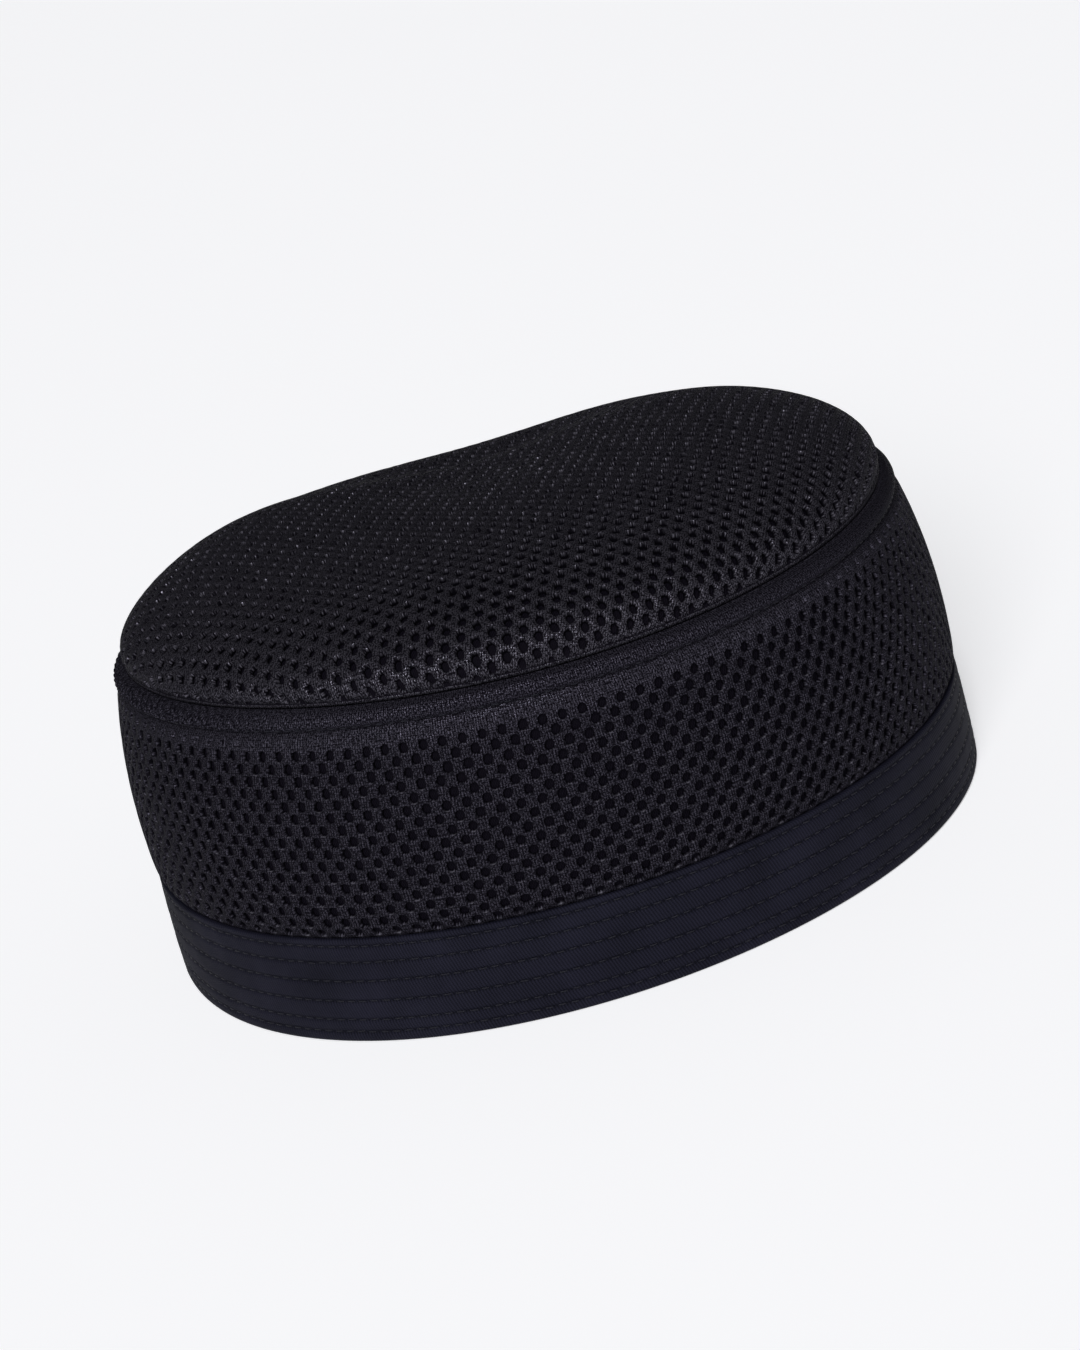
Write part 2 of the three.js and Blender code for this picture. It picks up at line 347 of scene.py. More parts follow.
@dataclass(frozen=True)
class HolePattern:
    """The air mesh's staggered holes: two steps from hole to hole, and one hole's size and section.

    Glint is the side of a hole, in degrees, that takes a painted glint where the lamps would catch its
    yarn; glow is how bright that painted glint is, from the closed_glow share of a shut hole up,
    glow_range how much it varies, sharpness how narrow it is, and border_glow its share on the lip
    ring. Lip_shade is the painted shade on an open hole's edge. Square is the power of the hole's
    superellipse. Lip and taper are the rings outside and under its edge, as shares of its size, and
    ridge, lip_drop and hole_depth say how deep the rings lie. Wander, uneven and lean_spread say how
    much holes differ in place, size and lean. A shut hole keeps closed_size and closed_depth of its
    size and depth, and one less open than floored_under has a floor of cloth.
    """

    step_a: tuple[float, float]
    step_b: tuple[float, float]
    hole_across: float
    hole_along: float
    lean: float
    glint: float = -90.0
    glow: float = 1.0
    square: float = 2.7
    sides: int = 12
    lip: float = 1.09
    taper: float = 0.9
    ridge: float = 0.06
    lip_drop: float = 0.2
    hole_depth: float = 1.25
    wander: float = 0.05
    uneven: float = 0.03
    lean_spread: float = 0.06
    closed_size: float = 0.6
    closed_depth: float = 0.06
    floored_under: float = 0.6
    sharpness: float = 5.0
    closed_glow: float = 0.35
    glow_range: tuple[float, float] = (0.2, 1.1)
    border_glow: float = 0.05
    lip_shade: float = 0.2
    merge: float = 0.02

    def cell(self) -> np.ndarray:
        """The border of one hole's share of cloth: the centres of the circles through neighbours.

        Returns:
            Six corners and the six middles between them, counter-clockwise from any of them.
        """
        a, b = np.array(self.step_a), np.array(self.step_b)
        near = np.array([a, b, a + b, -a, -b, -a - b])
        near = near[np.argsort(np.arctan2(near[:, 1], near[:, 0]))]
        after = np.roll(near, -1, axis=0)
        cross = 2 * (near[:, 0] * after[:, 1] - near[:, 1] * after[:, 0])
        sq, sq_after = (near**2).sum(1), (after**2).sum(1)
        across = (sq * after[:, 1] - sq_after * near[:, 1]) / cross
        along = (sq_after * near[:, 0] - sq * after[:, 0]) / cross
        corner = np.stack([across, along], 1)
        middle = (corner + np.roll(corner, -1, axis=0)) / 2
        return np.stack([corner, middle], 1).reshape(-1, 2)

    def borders(self, centres: np.ndarray, round_length: float) -> tuple[np.ndarray, np.ndarray, np.ndarray]:
        """The cells' borders, in which a place that neighbours share is found once.

        Args:
            centres: The holes' places in the cloth.
            round_length: The length after which the cloth closes round the cap, or 0.

        Returns:
            Each cell's border places, which of them are kept, and each one's number among those.
        """
        border = centres[:, None] + self.cell()[None]
        keyed = border.copy()
        if round_length:
            slack = 1e-4
            keyed[..., 0] = np.mod(keyed[..., 0] + slack, round_length) - slack
        keys = np.round(keyed.reshape(-1, 2) / self.merge).astype(np.int64)
        _, kept, shared = np.unique(keys, axis=0, return_index=True, return_inverse=True)
        return border, kept, shared.reshape(len(centres), self.sides)

    def ovals(self, outward: np.ndarray, size: np.ndarray, lean: np.ndarray) -> np.ndarray:
        """The holes' edges: superellipses that lean, with a point towards each border place.

        Args:
            outward: The way from each hole's centre to its border places.
            size: Each hole's size.
            lean: How far each hole leans.

        Returns:
            The edges' places from their holes' centres.
        """
        turn = np.stack([np.cos(lean), -np.sin(lean), np.sin(lean), np.cos(lean)], 1).reshape(-1, 2, 2)
        half = np.array([self.hole_across, self.hole_along]) / 2
        local = np.einsum("nji,nkj->nki", turn, outward) / half
        heading = local / np.linalg.norm(local, axis=-1, keepdims=True)
        fuller = (np.abs(heading) ** self.square).sum(-1, keepdims=True) ** (-1 / self.square)
        return np.einsum("nij,nkj->nki", turn, heading * fuller * half) * size[:, None, None]

    def net(
        self,
        surface: Surface,
        centres: np.ndarray,
        openness: np.ndarray,
        sunk: Callable[[np.ndarray], np.ndarray],
        shaded: Callable[[np.ndarray], np.ndarray],
        round_length: float,
        seed: int,
    ) -> Patch:
        """Knits the face: from each cell's border to its hole's lip, over the lip and down the hole.

        Every ring of a cell is an oval round its hole, and the border is shared with its neighbours.
        The rings are laid on the surface and raised or sunk along its normal.

        Args:
            surface: Takes places in the cloth to points.
            centres: The holes' places in the cloth.
            openness: How open each hole is, 0 to 1.
            sunk: How far the net is sunk under its face at a place, where a seam covers it.
            shaded: How much of a seam's shade lies on a place.
            round_length: The length after which the cloth closes round the cap, or 0.
            seed: Chooses how far each hole strays.

        Returns:
            The net.
        """
        chance = np.random.default_rng(seed)
        count, sides = len(centres), self.sides
        border, kept, shared = self.borders(centres, round_length)
        lean = math.radians(self.lean) + chance.normal(0, self.lean_spread, count)
        size = (self.closed_size + (1 - self.closed_size) * openness) * chance.normal(1, self.uneven, count)
        strayed = centres + chance.normal(0, self.wander, (count, 2))
        oval = self.ovals(border - centres[:, None], size, lean)
        open_share = np.repeat(openness, sides)
        # Painted glint: the yarn on the side of each hole towards glint is painted bright, narrower by
        # sharpness, dimmer for shut holes and uneven from hole to hole.
        bearing = np.arctan2(oval[..., 1], oval[..., 0]) - math.radians(self.glint)
        by_opening = self.closed_glow + (1 - self.closed_glow) * open_share
        lit = np.cos(bearing).clip(0).ravel() ** self.sharpness * by_opening
        lit = lit * self.glow * np.repeat(chance.uniform(*self.glow_range, count), sides)
        places = [border] + [strayed[:, None] + oval * scale for scale in (self.lip, 1.0, self.taper)]
        flat = np.concatenate([border.reshape(-1, 2)[kept]] + [ring.reshape(-1, 2) for ring in places[1:]])
        deeper = self.closed_depth + (1 - self.closed_depth) * open_share
        drops = [drop * deeper for drop in (0.0, self.lip_drop, self.hole_depth)]
        depth = np.concatenate([np.full(len(kept), -self.ridge)] + drops)
        points = surface(flat) - normals_of(surface, flat)[0] * (depth + sunk(flat))[:, None]
        rings = len(kept) + np.arange(3 * count * sides).reshape(3, count, sides)
        index = [shared, *rings]
        faces = [faces_between(index[k], index[k + 1]) for k in range(3)]
        cloth = [faces_between(places[k], places[k + 1]) for k in range(3)]
        for k in range(0, sides - 2, 2):
            corners = np.array([0, k + 1, k + 2, k + 3])
            faces.append(index[3][openness < self.floored_under][:, corners])
            cloth.append(places[3][openness < self.floored_under][:, corners])
        # Painted light for the lip attribute: the glint on the lip ring and the edge, painted shade on an
        # open hole's edge and down its wall, less the painted shade of a seam.
        deep = np.clip(open_share * 1.4 - 0.3, 0, 1)
        painted_ring_light = [self.border_glow * lit, lit - self.lip_shade * open_share, -deep]
        painted_light = np.concatenate([np.zeros(len(kept)), *painted_ring_light])
        return Patch(points, np.concatenate(faces), np.concatenate(cloth), lip=painted_light - shaded(flat))


def unshaded(places: np.ndarray) -> np.ndarray:
    """No shade at any of the places."""
    return np.zeros(places.shape[:-1])


def turned(cloth: np.ndarray, degrees: float) -> np.ndarray:
    """Turns places in the flat cloth about its middle, so that the knit's columns run along it."""
    cos, sin = math.cos(math.radians(degrees)), math.sin(math.radians(degrees))
    across, along = cloth[..., 0], cloth[..., 1]
    return np.stack([across * cos - along * sin, across * sin + along * cos], -1)


def stitches(
    surface: Surface, starts: np.ndarray, ends: np.ndarray, radius: float, proud: float, dive: float
) -> Patch:
    """Threads of a seam: each is a six-sided tube along an arch from under the cloth to under it.

    Args:
        surface: Takes places in the cloth to points.
        starts: Where each stitch comes up.
        ends: Where it goes down.
        radius: The thread's radius.
        proud: How high its middle stands over the cloth.
        dive: How deep its ends lie under it.

    Returns:
        The threads.
    """
    share = np.array([0.0, 0.14, 0.5, 0.86, 1.0])
    lift = np.array([-dive, 0.55 * proud, proud, 0.55 * proud, -dive])
    thick = radius * np.array([0.75, 1.0, 1.1, 1.0, 0.75])
    rings, sides = len(share), 6
    flat = starts[:, None] + (ends - starts)[:, None] * share[None, :, None]
    outward, across, along = normals_of(surface, flat)
    flattened = 0.85
    round_it = np.linspace(0, TURN, sides, endpoint=False)
    up, level = outward[:, :, None] * np.sin(round_it)[:, None], along[:, :, None] * np.cos(round_it)[:, None]
    ring = up * flattened + level
    middle = surface(flat) + outward * lift[:, None]
    points = middle[:, :, None] + ring * thick[:, None, None]
    count = len(starts)
    index = np.arange(count * rings * sides).reshape(count, rings, sides)
    after = np.roll(index, -1, axis=2)
    tube = np.stack([index[:, :-1], after[:, :-1], after[:, 1:], index[:, 1:]], -1).reshape(-1, 4)
    first, last = index[:, 0], index[:, -1]
    caps = [first[:, (3, 2, 1, 0)], first[:, (5, 4, 3, 0)], last[:, (0, 1, 2, 3)], last[:, (0, 3, 4, 5)]]
    faces = np.concatenate([tube] + caps)
    lengths = np.linalg.norm(ends - starts, axis=1)[:, None, None] * share[None, :, None]
    cloth = np.stack(np.broadcast_arrays(lengths + 0 * ring[..., 0], round_it * radius), -1).reshape(-1, 2)
    return Patch(points.reshape(-1, 3), faces, cloth[faces])


# Finishes


@dataclass(frozen=True)
class Reading:
    """A number that varies over a surface, with operators that add Math nodes."""

    board: "NodeBoard"
    socket: bpy.types.NodeSocket

    def math(self, operation: str, *others: "Reading | float", swap: bool = False) -> "Reading":
        """Adds a Math node of this number and others, the other way round where swap is true."""
        terms = [self.socket] + [getattr(other, "socket", other) for other in others]
        terms = terms[::-1] if swap else terms
        node = self.board.node("ShaderNodeMath", {"operation": operation}, dict(enumerate(terms)))
        return Reading(self.board, node.outputs[0])

    def __add__(self, other: "Reading | float") -> "Reading":
        """This number plus another."""
        return self.math("ADD", other)

    def __radd__(self, other: float) -> "Reading":
        """A number plus this one."""
        return self.math("ADD", other)

    def __sub__(self, other: "Reading | float") -> "Reading":
        """This number less another."""
        return self.math("SUBTRACT", other)

    def __rsub__(self, other: float) -> "Reading":
        """A number less this one."""
        return self.math("SUBTRACT", other, swap=True)

    def __mul__(self, other: "Reading | float") -> "Reading":
        """This number times another."""
        return self.math("MULTIPLY", other)

    def __rmul__(self, other: float) -> "Reading":
        """A number times this one."""
        return self.math("MULTIPLY", other)

    def __truediv__(self, other: "Reading | float") -> "Reading":
        """This number divided by another."""
        return self.math("DIVIDE", other)

    def __pow__(self, other: float) -> "Reading":
        """This number to a power."""
        return self.math("POWER", other)

    def wave(self) -> "Reading":
        """A sine wave of 0 to 1 with a period of 1."""
        return (self * TURN).math("SINE") * 0.5 + 0.5

    def ridge(self) -> "Reading":
        """A sharp wave of 0 to 1 with a period of 1."""
        return (self.math("FRACT") - 0.5).math("ABSOLUTE") * 2

    def held(self) -> "Reading":
        """This number kept within 0 and 1."""
        return self.math("MINIMUM", 1.0).math("MAXIMUM", 0.0)


class NodeBoard:
    """The node tree of a material or of the world, which every node is added to in one way."""

    def __init__(self, tree: bpy.types.NodeTree) -> None:
        """Takes the tree."""
        self.tree = tree

    def node(
        self,
        kind: str,
        settings: dict[str, object] | None = None,
        sockets: dict[str | int, object] | None = None,
    ) -> bpy.types.Node:
        """Adds a node.

        Args:
            kind: The node's type.
            settings: Its settings, which are set first.
            sockets: Values or links of its sockets.

        Returns:
            The node.
        """
        made = self.tree.nodes.new(kind)
        for key, value in (settings or {}).items():
            setattr(made, key, value)
        self.feed(made, sockets or {})
        return made

    def feed(self, node: bpy.types.Node, sockets: dict[str | int, object]) -> None:
        """Sets the values or the links of a node's sockets."""
        for key, value in sockets.items():
            value = getattr(value, "socket", value)
            if isinstance(value, bpy.types.NodeSocket):
                self.tree.links.new(value, node.inputs[key])
            else:
                node.inputs[key].default_value = value


class Finish(NodeBoard):
    """A material with one Principled BSDF, whose patterns are laid on the cloth's own UV map."""

    def __init__(self, name: str, specular: float) -> None:
        """Starts the material.

        Args:
            name: The material's name.
            specular: The specular level.
        """
        self.material = bpy.data.materials.new(name)
        self.material.use_nodes = True
        super().__init__(self.material.node_tree)
        self.shader = self.tree.nodes["Principled BSDF"]
        self.feed(self.shader, {"Specular IOR Level": specular})
        cloth = self.node("ShaderNodeUVMap", {"uv_map": "Cloth"})
        self.cloth = cloth.outputs["UV"]
        # The lip attribute is painted light: painted glints above 0, painted shade below 0.
        lip = self.node("ShaderNodeAttribute", {"attribute_type": "GEOMETRY", "attribute_name": "lip"})
        self.lip = Reading(self, lip.outputs["Fac"])
        parts = self.node("ShaderNodeSeparateXYZ", {}, {"Vector": self.cloth})
        self.across = Reading(self, parts.outputs["X"])
        self.along = Reading(self, parts.outputs["Y"])

    def noise(self, scale: float, detail: float = 2.0, stretch: tuple[float, float] = (1.0, 1.0)) -> Reading:
        """Noise over the cloth.

        Args:
            scale: Its waves to a millimetre.
            detail: How many finer waves are in it.
            stretch: Its scale across and along the cloth.

        Returns:
            The noise, about 0.5 on average.
        """
        sockets = {"Vector": self.cloth, "Scale": (*stretch, 1.0)}
        place = self.node("ShaderNodeMapping", {"vector_type": "POINT"}, sockets)
        sockets = {"Vector": place.outputs[0], "Scale": scale, "Detail": detail}
        made = self.node("ShaderNodeTexNoise", {"noise_dimensions": "2D"}, sockets)
        return Reading(self, made.outputs[0])

    def blend(
        self, share: Reading, low: Sequence[float] | bpy.types.NodeSocket, high: Sequence[float]
    ) -> bpy.types.NodeSocket:
        """A colour between two, by a share; the lower one may be a colour that varies."""
        low = low if isinstance(low, bpy.types.NodeSocket) else (*low, 1.0)
        mix = self.node("ShaderNodeMix", {"data_type": "RGBA"}, {0: share, 6: low, 7: (*high, 1.0)})
        return mix.outputs[2]

    def dress(
        self, colour: bpy.types.NodeSocket, roughness: Reading | float, relief: Reading, height: float
    ) -> None:
        """Links the pattern to the shader.

        Args:
            colour: The base colour.
            roughness: The roughness.
            relief: The height of the surface's detail, 0 to 1.
            height: How high 1 is, in millimetres.
        """
        bump = self.node("ShaderNodeBump", {}, {"Height": relief, "Strength": 1.0, "Distance": height * MM})
        self.feed(self.shader, {"Base Color": colour, "Roughness": roughness, "Normal": bump.outputs[0]})


@dataclass(frozen=True)
class KnitFinish:
    """Knitted polyester: columns of small V-shaped loops, with a painted glint on the yarn round the holes.

    Wale and course are the loops' width and height in millimetres. Uneven and even are the shares of
    the loops' brightness that speckles do and don't break up. Lift is painted light: it brightens the
    loops by a share from a length along the cloth on, over lift_reach. Speckle is the speckles' waves
    to a millimetre, and speckle_from and speckle_gain turn their noise into spots. Shade_from and
    shade_gain say where the painted shade of holes, seams and ribs begins and how fast it darkens, and
    dull how fast the gloss goes there and under the painted glints.
    """

    name: str
    dark: Colour = (0.0024, 0.0021, 0.0035)
    light: Colour = (0.103, 0.098, 0.122)
    # The colour of the painted glint on the yarn round the holes.
    painted_glint_colour: Colour = (0.12, 0.115, 0.14)
    wale: float = 0.56
    course: float = 0.46
    relief: float = 0.066
    specular: float = 0.02
    roughness: float = 0.26
    gloss: float = 1.0
    uneven: float = 1.4
    even: float = 0.06
    lift: float = 0.0
    lift_from: float = 0.0
    lift_reach: float = 4.0
    speckle: float = 2.9
    speckle_from: float = 0.42
    speckle_gain: float = 5.0
    shade_from: float = 0.35
    shade_gain: float = 1.9
    dull: float = 4.0

    def material(self) -> bpy.types.Material:
        """Knits the material.

        Loops are spots of a wave along each column, shifted to a V across it, and unevenly bright. The
        spots are metallic where no painted glint or painted shade lies, with a black edge tint, so that they
        don't glare. The lip attribute paints glints in a paler colour and shade in darkness, and lift paints
        light on the loops.

        Returns:
            The material.
        """
        finish = Finish(self.name, specular=self.specular)
        stray = finish.noise(0.6, 1.0)
        column = finish.across / self.wale + stray * 0.6
        arm = column.ridge()
        loop = (finish.along / self.course + arm * 0.6 + stray * 0.9).wave()
        speckle = finish.noise(self.speckle, 1.0, (1.0, 0.7))
        spots = (loop * 0.75 + 0.25) * (1 - arm * 0.85)
        uneven = ((speckle - self.speckle_from) * self.speckle_gain).held()
        bright = (spots * (uneven * self.uneven + self.even)).held()
        # Painted light from the lip attribute: edge is the painted glint round the holes, shade the painted
        # shade of holes, seams and ribs.
        edge = finish.lip.held() ** 1.5
        shade = (finish.lip * -self.shade_gain - self.shade_from).held()
        # Painted light: the loops grow brighter by lift from lift_from on.
        painted_lift = ((finish.along - self.lift_from) / self.lift_reach).held()
        bright = (bright * (1 + self.lift * painted_lift) * (1 - shade)).held()
        colour = finish.blend(bright, self.dark, self.light)
        colour = finish.blend(edge, colour, self.painted_glint_colour)
        rough = self.roughness + 0.4 * (1 - bright)
        metal = bright * (1 - finish.lip.math("ABSOLUTE") * self.dull).held() * self.gloss
        finish.feed(finish.shader, {"Metallic": metal, "Specular Tint": (0.0, 0.0, 0.0, 1.0)})
        finish.dress(colour, rough, spots * 0.7 + speckle * 0.7, self.relief)
        return finish.material


@dataclass(frozen=True)
class SpacerFinish:
    """The dark filling under the holes: fine springy yarns that cross each other."""

    name: str = "air_mesh_spacer"
    dark: Colour = (0.0022, 0.0018, 0.0036)
    light: Colour = (0.0115, 0.0096, 0.0165)

    def material(self) -> bpy.types.Material:
        """Yarns are two slanting sets of thin ridges with noise between them."""
        finish = Finish(self.name, specular=0.03)
        left = ((finish.across + finish.along * 0.4) / 0.5).ridge() ** 4
        right = ((finish.across - finish.along * 0.5) / 0.6).ridge() ** 4
        yarns = (left + right) * 0.5
        colour = finish.blend(yarns.held(), self.dark, self.light)
        finish.dress(colour, 0.6, yarns + finish.noise(2.0) * 0.5, 0.15)
        return finish.material


@dataclass(frozen=True)
class TwillFinish:
    """Navy-black twill: fine steep ribs across the headband, each broken into short floats."""

    name: str
    dark: Colour = (0.0013, 0.0014, 0.0042)
    light: Colour = (0.0125, 0.0123, 0.0240)
    rib: float = 0.72
    lean: float = 0.36
    float_length: float = 0.47
    relief: float = 0.16

    def material(self) -> bpy.types.Material:
        """Ribs are a sharp wave across lines that lean; floats are a wave along them; painted shade from the
        lip attribute darkens the rows of stitches.
        """
        finish = Finish(self.name, specular=0.08)
        stray = finish.noise(0.35, 2.0)
        rib = ((finish.across + finish.along * self.lean) / self.rib + stray * 0.35).ridge()
        floats = ((finish.along - finish.across * 0.3) / self.float_length).wave()
        cloudy = finish.noise(0.07, 3.0)
        fuzz = finish.noise(3.0, 2.0)
        pattern = rib * 0.7 + floats * 0.2 + fuzz * 0.3
        # Painted shade: the lip attribute darkens the cloth along the rows of stitches.
        tone = pattern + cloudy * 0.75 - 0.5 + finish.lip * 0.55
        colour = finish.blend(tone.held(), self.dark, self.light)
        finish.dress(colour, 0.62 + 0.2 * fuzz, pattern, self.relief)
        return finish.material


@dataclass(frozen=True)
class ThreadFinish:
    """Twisted sewing thread: slanting plies along it, smoother than the cloth."""

    name: str = "sewing_thread"
    dark: Colour = (0.0012, 0.0012, 0.0030)
    light: Colour = (0.0200, 0.0200, 0.0290)
    ply: float = 0.34

    def material(self) -> bpy.types.Material:
        """Plies are a wave along the thread that leans round it, their lighter part also a painted highlight.
        """
        finish = Finish(self.name, specular=0.12)
        plies = (finish.across / self.ply + finish.along * 1.2).wave()
        finish.dress(finish.blend(plies, self.dark, self.light), 0.34, plies, 0.05)
        return finish.material


# Pieces


def on_body(
    body: bpy.types.Object, face: bpy.types.Object, node: str, flat: tuple[float, float], area: float
) -> list[bpy.types.Object]:
    """Attaches a padded body and the knitted sheet stretched on it to the root, and hides the solid that they
    stand for.

    Args:
        body: The padded body.
        face: The knitted face.
        node: The solid's name.
        flat: The face's cut, in metres. Not used.
        area: The cut's area, in square metres. Not used.

    Returns:
        Both pieces.
    """
    for piece in (body, face):
        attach(piece, "root")
        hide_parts(node)
    return [body, face]


@dataclass
class Crown:
    """The crown: a dome of air mesh over the seam, its edge sewn in and pressed down the wall.

    Tucked is the cloth's hidden way into the groove: how far in it lies, and its height over the
    seam. Bare_edge is how wide the body shows between the net and the seam, and the net is sunk by
    net_sunk there. Opening gives the openness of the holes by how far they lie in from the seam.
    Grain turns the knit's columns, in degrees. At the -X end the cloth is stretched outwards within
    stretch_reach of the seam, and the holes are smaller by closing, which fades over closing_span.
    The groove's shade fades over shade_reach. The body lies sunk_edge under the net beside the seam
    and sunk_more deeper further in. Flat and flat_area are the cut in metres and square metres.
    """

    outline: CapOutline
    thickness: float = 3.2
    pressed: float = 1.4
    gap: float = 0.3
    facing_outer: float = 3.2
    groove: float = 2.0
    inset: float = 1.2
    flatness: float = 3.0
    shoulder: float = 2.4
    puff_height: float = 3.0
    allowance: float = 5.5
    tucked: tuple[tuple[float, float], ...] = ((2.8, -0.06), (3.03, -0.3), (3.05, -5.0))
    bare_edge: float = 1.0
    holes: HolePattern = HolePattern(
        step_a=(3.75, 0.6),
        step_b=(-1.05, -3.4),
        hole_across=1.85,
        hole_along=2.95,
        lean=10.0,
        glint=130.0,
        glow=0.34,
        square=2.4,
        hole_depth=1.5,
    )
    grain: float = 17.2
    stretch: float = 0.3
    stretch_reach: float = 32.0
    closing: float = 0.38
    closing_span: tuple[float, float] = (-55.0, 0.0)
    opening: tuple[tuple[float, float], ...] = ((0.2, 0.15), (1.4, 0.7), (3.2, 1.0))
    overlap: float = 1.4
    steps_out: int = 48
    net_sunk: float = 0.9
    shade: float = 0.72
    shade_reach: float = 2.6
    sunk_edge: float = 1.1
    sunk_more: float = 0.45
    seed: int = 11
    flat: tuple[float, float] = (0.21, 0.184)
    flat_area: float = 0.0304
    columns: int = 256
    body_rings: int = 72
    rays: int = 720
    ray_steps: int = 400
    fine: float = 0.2

    def __post_init__(self) -> None:
        """Measures every ray of the dome from its middle to inside the groove, for laying cloth on."""
        self.seam = self.outline.seam_height + self.gap / 2
        turns = np.linspace(np.pi / 2, 0, self.ray_steps)
        reach, rise, tuck = self.dome(turns)
        hidden = np.array(self.tucked)
        reach = np.concatenate([reach, np.ones(len(hidden))])
        depth = np.concatenate([tuck, hidden[:, 0]])
        height = self.seam + np.concatenate([rise, hidden[:, 1]])
        sink = np.concatenate([rise / self.outline.crown_rise, np.zeros(len(hidden))])
        angles = np.linspace(0, TURN, self.rays + 1)
        rays = self.outline.point(angles[:, None], height[None], depth[None], reach[None], sink[None])
        runs = np.linalg.norm(np.diff(rays, axis=1), axis=2)
        lengths = np.concatenate([np.zeros((self.rays + 1, 1)), np.cumsum(runs, axis=1)], axis=1)
        self.seam_lengths = lengths[:, self.ray_steps - 1]
        self.marks = np.arange(0, lengths.max(), self.fine)
        radii = np.hypot(rays[..., 0], rays[..., 1])
        self.radii = np.array([np.interp(self.marks, a, b) for a, b in zip(lengths, radii)])
        self.heights = np.array([np.interp(self.marks, a, b) for a, b in zip(lengths, rays[..., 2])])

    def dome(self, turn: np.ndarray) -> tuple[np.ndarray, np.ndarray, np.ndarray]:
        """The dome's superellipse: share of the radius, rise over the seam, and tuck into the groove."""
        rise = self.outline.crown_rise * np.sin(turn) ** (2 / self.shoulder)
        reach = np.cos(turn).clip(0) ** (2 / self.flatness)
        tuck = self.inset + (self.groove - self.inset) * np.exp(-((rise / self.puff_height) ** 2))
        return reach, rise, tuck * smoothstep(reach, 0.0, 0.25)

    def oval_angle(self, places: np.ndarray) -> np.ndarray:
        """The oval's angle in which a place of the cloth lies from the middle."""
        x, y = places[..., 0] / self.outline.seam_length, places[..., 1] / self.outline.seam_width
        return np.mod(np.arctan2(y, x), TURN)

    def read(self, table: np.ndarray, ray: np.ndarray, mark: np.ndarray) -> np.ndarray:
        """Reads a table of rays by marks, as a mean of the four entries about each place.

        Args:
            table: A number for each mark of each ray.
            ray: Which ray, in rays and parts of one.
            mark: Which mark, in marks and parts of one.

        Returns:
            The numbers.
        """
        r, m = np.floor(ray).astype(int) % self.rays, np.floor(mark).astype(int)
        part_ray, part_mark = ray - np.floor(ray), mark - m
        here = table[r, m] * (1 - part_mark) + table[r, m + 1] * part_mark
        after = table[r + 1, m] * (1 - part_mark) + table[r + 1, m + 1] * part_mark
        return here * (1 - part_ray) + after * part_ray

    def surface(self, places: np.ndarray) -> np.ndarray:
        """Lays flat cloth on the dome: a place keeps its direction and its length from the middle."""
        heading = np.arctan2(places[..., 1], places[..., 0])
        ray = self.oval_angle(places) / TURN * self.rays
        mark = np.clip(np.hypot(places[..., 0], places[..., 1]) / self.fine, 0, len(self.marks) - 1.001)
        radius, height = self.read(self.radii, ray, mark), self.read(self.heights, ray, mark)
        return np.stack([radius * np.cos(heading), radius * np.sin(heading), height], -1)

    def from_seam(self, places: np.ndarray) -> np.ndarray:
        """How far a place of the cloth lies in from the seam."""
        end = np.interp(self.oval_angle(places), np.linspace(0, TURN, self.rays + 1), self.seam_lengths)
        return end - np.hypot(places[..., 0], places[..., 1])

    def stretched(self, places: np.ndarray) -> np.ndarray:
        """Pulls the cloth outwards over the -X end's shoulder, more the nearer it lies to the seam."""
        near = (self.stretch_reach - self.from_seam(places)).clip(0)
        pulled = self.stretch * near**2 / (near + 8.0) * (1 - smoothstep(places[..., 0], -35.0, 22.0))
        length = np.hypot(places[..., 0], places[..., 1]).clip(1e-6)
        return places * (1 + pulled / length)[..., None]

    def laid(self, places: np.ndarray) -> np.ndarray:
        """Lays the cloth, pulled outwards over the -X end's shoulder, on the dome."""
        return self.surface(self.stretched(places))

    def tucked_under(self, places: np.ndarray) -> np.ndarray:
        """How far the net is sunk at the seam, where the edge of the body shows bare."""
        inside = self.from_seam(self.stretched(places))
        return self.net_sunk * (1 - smoothstep(inside, self.bare_edge - 1.2, self.bare_edge + 0.2))

    def seam_shade(self, places: np.ndarray) -> np.ndarray:
        """How much of the groove's shade lies on a place: it fades from the seam on."""
        return self.shade * (1 - smoothstep(self.from_seam(places), 0.0, self.shade_reach))

    def net(self) -> Patch:
        """The knitted face with its holes, which close towards the seam."""
        a, b = np.array(self.holes.step_a), np.array(self.holes.step_b)
        steps = np.arange(-self.steps_out, self.steps_out + 1)
        i, j = np.meshgrid(steps, steps)
        centres = (i[..., None] * a + j[..., None] * b).reshape(-1, 2)
        inside = self.from_seam(self.stretched(centres))
        centres, inside = centres[inside > -self.overlap], inside[inside > -self.overlap]
        openness = np.interp(inside, *np.array(self.opening).T)
        openness = openness * (1 - self.closing * (1 - smoothstep(centres[:, 0], *self.closing_span)))
        covers = (self.tucked_under, self.seam_shade)
        patch = self.holes.net(self.laid, centres, openness, *covers, 0.0, self.seed)
        patch.cloth = turned(patch.cloth, self.grain)
        return patch

    def shell(self, turns: np.ndarray, sunk: np.ndarray) -> np.ndarray:
        """Places of the dome's section, sunk square to its curve.

        Args:
            turns: The superellipse's parameter, from a quarter turn at the middle to 0 at the seam.
            sunk: How far each place lies under the face.

        Returns:
            Reach, depth, height and sink of each place, in rows.
        """
        mean_radius = (self.outline.seam_length + self.outline.seam_width) / 4
        reach, rise, tuck = self.dome(turns)
        near_reach, near_rise, near_tuck = self.dome(np.maximum(turns - 0.01, 0))
        slope = np.arctan2(rise - near_rise, (near_reach - reach) * mean_radius - (near_tuck - tuck))
        slope = np.where(turns < 0.012, np.pi / 2, slope)
        columns = [reach, tuck + sunk * np.sin(slope), self.seam + rise - sunk * np.cos(slope)]
        return np.stack(columns + [rise / self.outline.crown_rise], 1)

